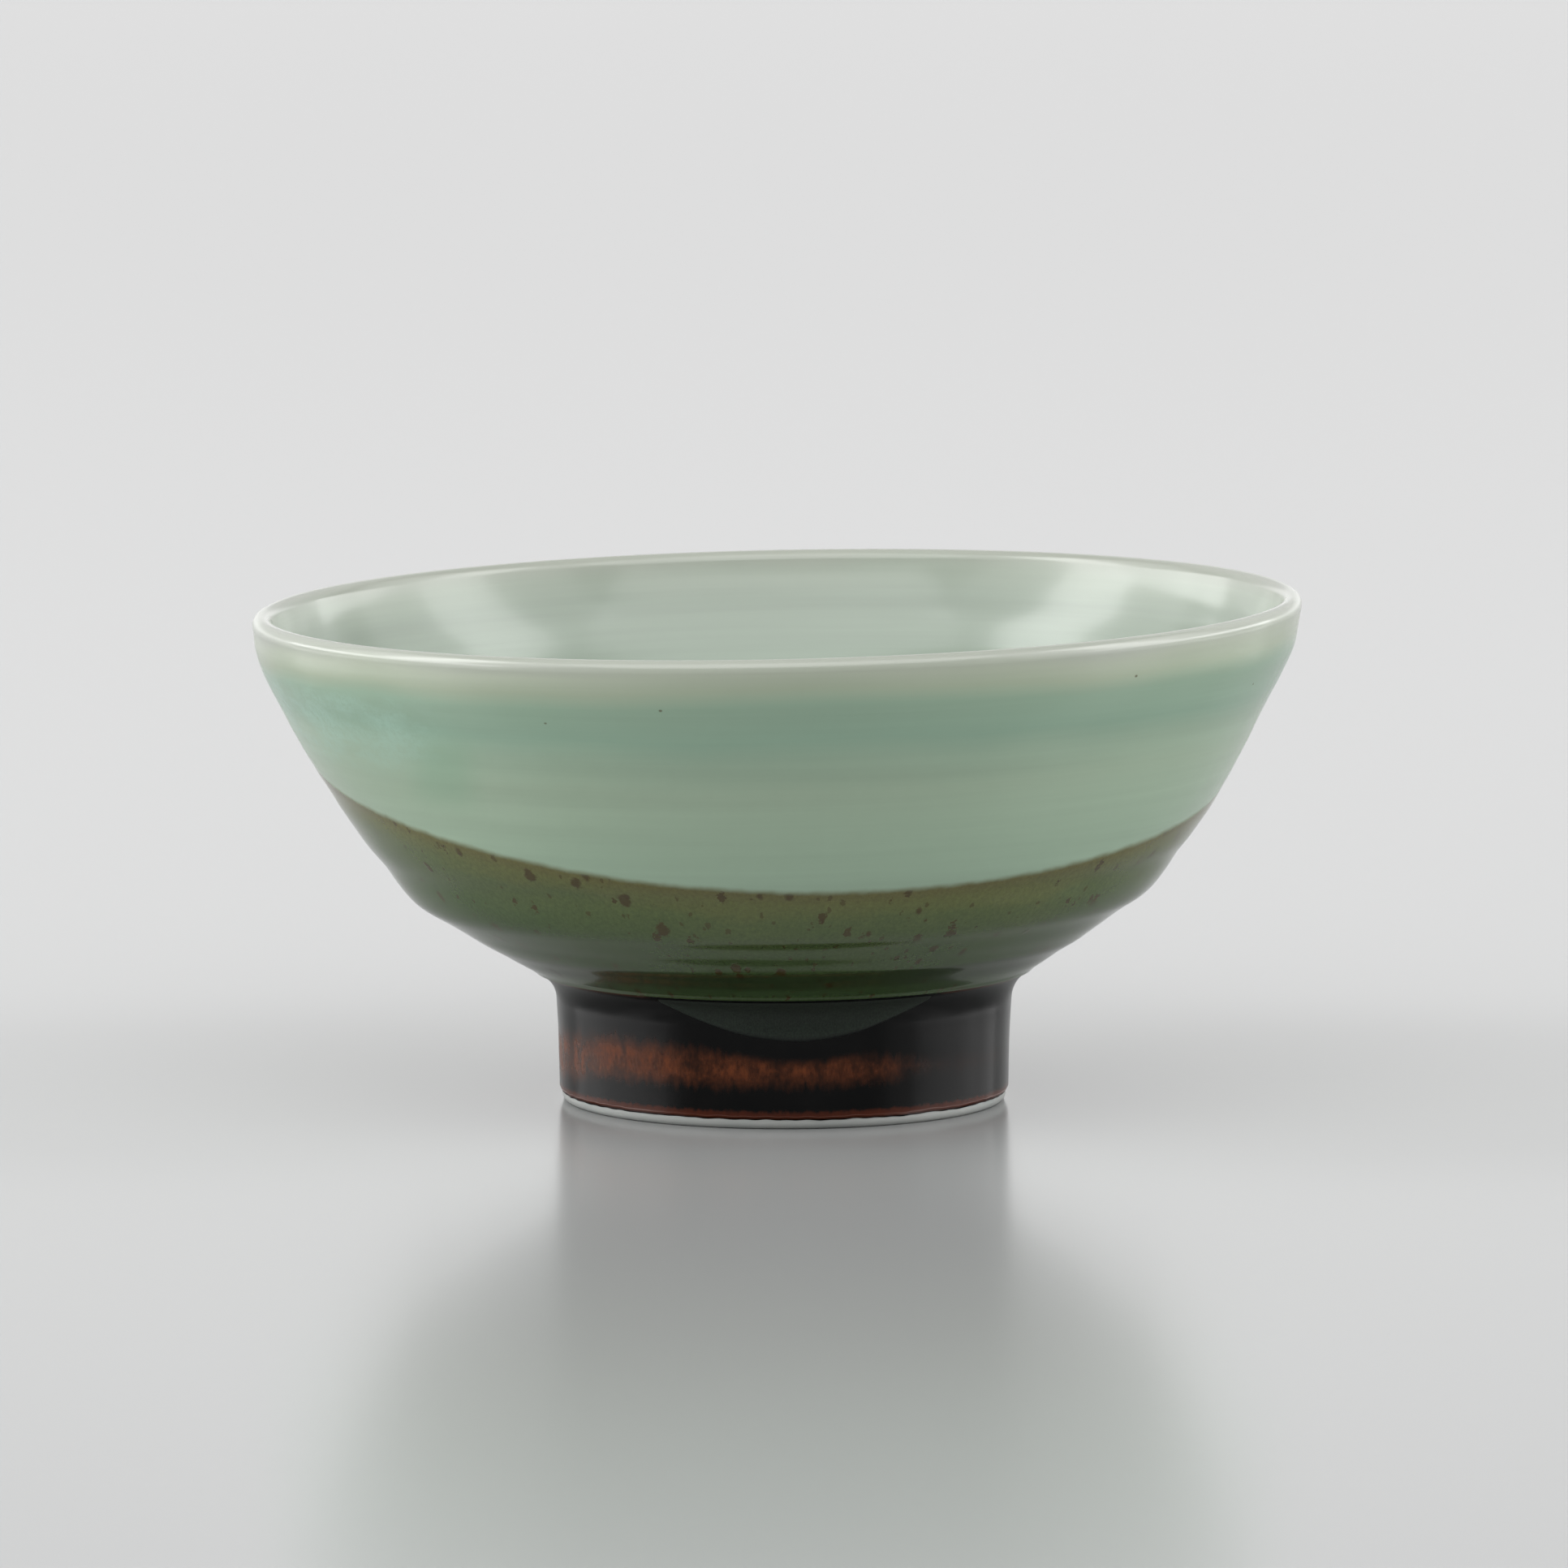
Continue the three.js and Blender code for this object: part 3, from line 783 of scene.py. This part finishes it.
def outer_celadon(name):
    """The glaze outside, with dark pin specks, going over to olive right at the iron line."""
    shader = Shader(name)
    colour = celadon_colour(shader, shader.value("level"), CELADON_LEVELS)
    colour = left_frost(shader, colour)
    colour = shader.mix(shader.product(pin_specks(shader), 0.75), colour, (0.10, 0.08, 0.04))
    colour = shader.mix(shader.span(over_line(shader), 0.75, -0.35), colour, OLIVE_BELOW_LINE[-1][1])
    return celadon_finish(shader, colour)


def lip_celadon(name):
    """Goes over from the outer celadon's colours to the inner one's across the top of the lip."""
    shader = Shader(name)
    level = shader.value("level")
    outside = celadon_colour(shader, level, CELADON_LEVELS)
    inside = celadon_colour(shader, level, INSIDE_LEVELS)
    middle = (S_LIP + S_LIP_END) / 2
    colour = shader.mix(shader.span(shader.value("arc"), middle - 1, middle + 1), outside, inside)
    return celadon_finish(shader, colour)


def inner_celadon(name):
    """The glaze inside, with a few yellow-green specks."""
    shader = Shader(name)
    colour = celadon_colour(shader, shader.value("level"), INSIDE_LEVELS)
    colour = shader.mix(shader.product(pin_specks(shader, 9.0), 0.7), colour, (0.30, 0.28, 0.06))
    return celadon_finish(shader, colour)


def overlap(name):
    """Celadon over iron: brown at the line, then olive, then dark green, with iron spots and streaks, and
    a band darkened low on the underside as a painted reflection of the black foot."""
    shader = Shader(name)
    below = shader.value("over_line")
    clouds = shader.noise(8, stretch=(0.6, 0.6, 1), detail=3, rough=0.6)
    drift = shader.span(clouds, 0.25, 0.75, -1.6, 1.6, kind="LINEAR")
    soft = shader.product(drift, shader.span(below, -0.8, -4.0))
    colour = shader.ramp(shader.math("ADD", below, soft), OLIVE_BELOW_LINE)
    grain = shader.noise(0.45, stretch=(1, 1, 0.8), detail=4, rough=0.7)
    colour = shader.shade(colour, shader.span(grain, 0.25, 0.75, 0.78, 1.22, kind="LINEAR"))
    for size, kept, strength in ((2.2, 0.6, 0.85), (1.3, 0.45, 0.6)):
        dashes = shader.product(streaks(shader, size, kept), strength)
        colour = shader.mix(dashes, colour, IRON_BROWN)
    spots = iron_spots(shader)
    colour = shader.mix(shader.product(spots, 0.85), colour, IRON_BROWN)
    level = shader.value("level")
    # Painted reflection: a band on the underside darkened where the black foot would be mirrored
    painted_foot_reflection = shader.product(shader.span(level, 20.7, 20.2), shader.span(level, 17.6, 18.4))
    colour = shader.shade(colour, shader.math("MULTIPLY_ADD", painted_foot_reflection, -0.42, 1))
    celadon = shader.ramp(level, CELADON_LEVELS)
    colour = shader.mix(shader.span(over_line(shader), -0.35, 0.75), colour, celadon)
    rough = shader.math("MULTIPLY_ADD", shader.noise(5, detail=2), 0.1, 0.08)
    bumps = [(spots, 0.04, 0.6), *fine_bumps(shader, 0.8, 0.008)]
    return shader.finish(colour, rough, bumps, IOR=1.52, Coat_Weight=0.3, Coat_Roughness=0.05)


def streaks(shader, size, kept):
    """Short dark dashes that run down the slope, one in some of the cells of a grid."""
    wobble = shader.noise(0.5, detail=2)
    cells = shader.cells(size, stretch=(1, 1, 0.55))
    dice = shader.dice(cells)
    reach = shader.math("MULTIPLY_ADD", dice["Green"], 0.14, 0.1)
    reach = shader.product(reach, shader.span(wobble, 0.3, 0.7, 0.6, 1.5))
    away = shader.math("SUBTRACT", cells.outputs["Distance"], reach)
    few = shader.math("LESS_THAN", dice["Red"], kept)
    return shader.product(shader.span(away, -0.03, 0.035, 1, 0), few)


SPOTS = [  # turn in degrees, height and size in mm of the larger iron spots on the front
    (-36, 33.7, 1.3),
    (-29, 33.0, 1.1),
    (-27, 34.0, 0.9),
    (-22.5, 30.8, 1.5),
    (-18, 27.1, 1.5),
    (-8.5, 21.4, 1.4),
    (-6.5, 21.2, 0.8),
    (-12, 20.8, 1.0),
    (-0.5, 20.8, 1.3),
    (1, 31.5, 0.9),
    (-3, 31.6, 0.7),
    (26, 23.0, 1.0),
    (20, 22.1, 0.7),
    (43, 24.1, 0.8),
    (20, 28.8, 0.7),
    (13, 26.1, 0.7),
    (-47, 36.0, 0.8),
]


def iron_spots(shader):
    """The larger spots on the front one by one, and others scattered all round."""
    wobble = shader.noise(0.7, detail=2)
    where = shader.unrolled((1, 1, 0.62))
    total = None
    for turn, level, size in SPOTS:
        centre = tuple(unroll(math.radians(turn), arc_at_level(level)) * [1, 1, 0.62])
        away = shader.node("ShaderNodeVectorMath", {0: where, 1: centre}, operation="DISTANCE")
        edge = shader.math("MULTIPLY_ADD", wobble, size * 0.7, size * 0.16)
        spot = shader.span(shader.math("SUBTRACT", away.outputs["Value"], edge), -0.2, 0.16, 1, 0)
        total = spot if total is None else shader.math("MAXIMUM", total, spot)
    cells = shader.cells(6.5, stretch=(1, 1, 0.62))
    dice = shader.dice(cells)
    size = shader.math("MULTIPLY_ADD", dice["Green"], 0.1, 0.05)
    size = shader.product(size, shader.span(wobble, 0.3, 0.7, 0.6, 1.3))
    away = shader.math("SUBTRACT", cells.outputs["Distance"], size)
    few = shader.math("LESS_THAN", dice["Red"], 0.34)
    return shader.math("MAXIMUM", total, shader.product(shader.span(away, -0.018, 0.015, 1, 0), few))


RUST_MIDDLE = [(-28, 0.60), (-20, 0.77), (-8, 0.74), (2, 0.72), (16, 0.72), (28, 0.66)]
RUST_HALF = [(-28, 0.27), (-20, 0.24), (-8, 0.19), (2, 0.16), (12, 0.15), (19, 0.08), (28, 0.05)]
IRON_BLACKS = [(0.3, (0.0016, 0.0018, 0.0020)), (0.7, (0.004, 0.0036, 0.0036))]
RUST_EDGE = [(1.2, (0.085, 0.021, 0.009)), (1.9, (0.07, 0.017, 0.008)), (2.3, (0.04, 0.011, 0.006))]


def rust_band(shader, x, level):
    """A mottled band round the foot. Its middle and half its width, in cm, change from left to right."""
    middle, half = (shader.product(shader.ramp(x, stops), 10) for stops in (RUST_MIDDLE, RUST_HALF))
    tall = shader.noise(1.6, stretch=(1, 1, 0.4), detail=4, rough=0.6)
    ragged = shader.span(tall, 0.25, 0.75, -0.9, 0.9, kind="LINEAR")
    away = shader.math("ABSOLUTE", shader.math("SUBTRACT", level, middle))
    depth = shader.math("SUBTRACT", half, shader.math("ADD", away, ragged))
    band = shader.span(depth, -1.1, 1.5)
    clear = shader.span(shader.value("from_run"), 1.8, 3.2)
    blotches = shader.noise(5, stretch=(1, 1, 1.3), detail=3, rough=0.6)
    patches, fine = shader.span(blotches, 0.3, 0.62, 0.25, 1), shader.span(tall, 0.3, 0.65, 0.45, 1)
    return shader.product(band, clear, patches, fine, shader.span(x, 20, 9, 0.1, 1))


def iron_glaze(name):
    """Black to rust red: a mottled rust band, a black border round the run, and a thin rust edge."""
    shader = Shader(name)
    level = shader.value("level")
    rust = rust_band(shader, shader.x(), level)
    rusty = shader.ramp(shader.noise(0.9, detail=5, rough=0.7), [(0.25, RUST_DARK), (0.75, RUST_LIGHT)])
    colour = shader.mix(rust, shader.ramp(shader.noise(6, detail=2), IRON_BLACKS), rusty)
    wander = shader.span(shader.noise(1.1, detail=3), 0.2, 0.8, -0.2, 0.2)
    line = shader.math("ADD", level, wander)
    colour = shader.mix(shader.span(line, 2.5, 2.05), colour, shader.ramp(line, RUST_EDGE))
    sides = shader.span(shader.value("from_run"), -0.2, 1.0)
    crease = shader.product(shader.span(shader.value("from_crease"), -0.55, -0.15), sides, 0.8)
    colour = shader.mix(crease, colour, (0.12, 0.04, 0.025))
    rough = shader.span(rust, 0, 1, 0.2, 0.34)
    bumps = fine_bumps(shader, 0.7, 0.01)
    return shader.finish(colour, rough, bumps, IOR=1.5, Specular_IOR_Level=0.22)


def run_glaze(name):
    """Dark blue-green and half matte, with a fine grain, black at its lower edge."""
    shader = Shader(name)
    grain = shader.noise(0.3, detail=4, rough=0.75)
    stops = [
        (0, (0.009, 0.015, 0.008)),
        (0.45, (0.014, 0.021, 0.014)),
        (0.85, (0.019, 0.028, 0.020)),
        (1, (0.004, 0.005, 0.005)),
    ]
    colour = shader.ramp(shader.value("down"), stops)
    colour = shader.shade(colour, shader.span(grain, 0.3, 0.7, 0.55, 1.45))
    rough = shader.math("MULTIPLY_ADD", shader.noise(3, detail=2), 0.14, 0.34)
    return shader.finish(colour, rough, [(grain, 0.015, 0.5)], IOR=1.5, Specular_IOR_Level=0.35)


def well_glaze(name):
    """Iron glaze in the recess, clouded black and rust."""
    shader = Shader(name)
    clouds = shader.noise(6, detail=4, rough=0.6, on_skin=False)
    stops = [(0.35, (0.010, 0.009, 0.009)), (0.52, (0.035, 0.014, 0.009)), (0.68, (0.13, 0.042, 0.018))]
    colour = shader.ramp(clouds, stops)
    grain = shader.noise(0.6, detail=4, on_skin=False)
    colour = shader.shade(colour, shader.span(grain, 0.3, 0.7, 0.75, 1.25))
    rough = shader.span(clouds, 0.3, 0.7, 0.24, 0.4)
    return shader.finish(colour, rough, [(grain, 0.01, 0.5)], IOR=1.5)


def porcelain(name):
    """Bare fired porcelain: off-white, dry, with fine turning lines and a few iron specks."""
    shader = Shader(name)
    clouds = shader.noise(8, detail=3, on_skin=False)
    # These greys are darker than the porcelain's own off-white: partly painted shade, for the bare edge in
    # the foot's shadow
    colour = shader.ramp(clouds, [(0.3, (0.36, 0.376, 0.364)), (0.7, (0.42, 0.43, 0.414))])
    cells = shader.cells(4.0, on_skin=False)
    few = shader.math("LESS_THAN", shader.dice(cells)["Red"], 0.3)
    speck = shader.product(shader.span(cells.outputs["Distance"], 0.012, 0.03, 0.5, 0), few)
    colour = shader.mix(speck, colour, (0.25, 0.18, 0.12))
    lines = shader.noise(0.35, stretch=(0.05, 0.05, 1), detail=3, on_skin=False)
    grain = shader.noise(0.18, detail=2, on_skin=False)
    return shader.finish(colour, 0.6, [(lines, 0.02, 0.5), (grain, 0.012, 0.5)], IOR=1.5)


# ---- assembly -----------------------------------------------------------------------------------------


def lip_coat():
    return coat("lip_celadon", S_BAND_OUT, S_BAND_IN)


def outer_coat():
    return coat("outer_celadon", S_IRON, S_BAND_OUT)


PIECES = [  # how each piece is built, the CAD node it replaces, its slot and its material
    (build_body, "bowl_body", "porcelain", porcelain),
    (build_ring, "foot_ring", "bare_porcelain", porcelain),
    (inner_coat, "inner_celadon_glaze", "inner_celadon", inner_celadon),
    (lip_coat, "lip_celadon_glaze", "lip_celadon", lip_celadon),
    (outer_coat, "outer_celadon_glaze", "outer_celadon", outer_celadon),
    (build_overlap, "overlap_glaze", "celadon_over_iron", overlap),
    (build_run, "foot_celadon_run", "celadon_run", run_glaze),
    (build_iron_coat, "iron_glaze_coat", "iron_glaze", iron_glaze),
    (build_well, "foot_well_glaze", "well_glaze", well_glaze),
]


def add_pieces():
    for build, node, slot, material in PIECES:
        piece = build()
        piece.data.materials.append(material(slot))
        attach(piece, "root")
        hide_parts(node)


# ---- stage, light and camera --------------------------------------------------------------------------


def add_stage():
    """A wide pale floor, glossy enough to mirror the bowl softly."""
    half = 9.0
    corners = [(-half, -half, 0), (half, -half, 0), (half, half, 0), (-half, half, 0)]
    mesh = bpy.data.meshes.new("floor")
    mesh.from_pydata(corners, [], [(0, 1, 2, 3)])
    floor = bpy.data.objects.new("floor", mesh)
    bpy.context.scene.collection.objects.link(floor)
    shader = Shader("floor")
    shader.surface.inputs["Base Color"].default_value = (0.40, 0.405, 0.405, 1)
    shader.surface.inputs["Roughness"].default_value = 0.2
    shader.surface.inputs["IOR"].default_value = 1.5
    mesh.materials.append(shader.material)


PANELS = [  # name, place, width, height and radiance of each soft light panel
    ("left_core", (-0.95, -0.08, 0.62), 0.40, 0.7, 4.6),
    ("right_core", (0.95, -0.08, 0.62), 0.40, 0.7, 3.3),
    ("left_wide", (-1.6, -0.15, 0.85), 2.2, 1.6, 1.1),
    ("right_wide", (1.6, -0.15, 0.85), 2.2, 1.6, 1.1),
    ("left_low", (-1.3, 0.15, 0.24), 1.8, 0.3, 3.3),
    ("right_low", (1.3, 0.3, 0.22), 1.7, 0.26, 2.8),
    ("front_top", (0, -1.0, 1.15), 2.2, 1.3, 2.0),
    ("backdrop", (0, 3.4, 1.9), 8.0, 2.6, 0.53),
    ("backdrop_low", (0, 3.4, 0.29), 8.0, 0.58, 1.08),
]
AIM = (0, 0, 0.04)


def add_panel(name, place_, width, height, radiance):
    data = bpy.data.lights.new(name, "AREA")
    data.shape, data.size, data.size_y = "RECTANGLE", width, height
    data.energy = radiance * math.pi * width * height
    light = bpy.data.objects.new(name, data)
    light.location = place_
    target = (0, 0, place_[2]) if "backdrop" in name else AIM
    aim = Vector(target) - Vector(place_)
    light.rotation_euler = aim.to_track_quat("-Z", "Y").to_euler()
    light.visible_camera = False
    bpy.context.scene.collection.objects.link(light)


def add_lights():
    for panel in PANELS:
        add_panel(*panel)
    world = bpy.data.worlds.new("studio")
    world.use_nodes = True
    world.node_tree.nodes["Background"].inputs["Color"].default_value = (1, 1, 1, 1)
    world.node_tree.nodes["Background"].inputs["Strength"].default_value = 0.2
    bpy.context.scene.world = world


def add_camera():
    """A long lens, a little above the bowl, looking down by under seven degrees."""
    data = bpy.data.cameras.new("camera")
    data.sensor_width, data.lens = 36.0, 36.0 * 16102.8 / 1932
    data.clip_start, data.clip_end = 0.05, 20
    camera = bpy.data.objects.new("camera", data)
    camera.location = (AXIS_X * MM, -1.6, 0.2321)
    camera.rotation_euler = (math.radians(90 - 6.88), 0, 0)
    bpy.context.scene.collection.objects.link(camera)
    bpy.context.scene.camera = camera


add_pieces()
add_stage()
add_lights()
add_camera()
bpy.context.scene.view_settings.view_transform = "Standard"
bpy.context.scene.view_settings.gamma = 0.92
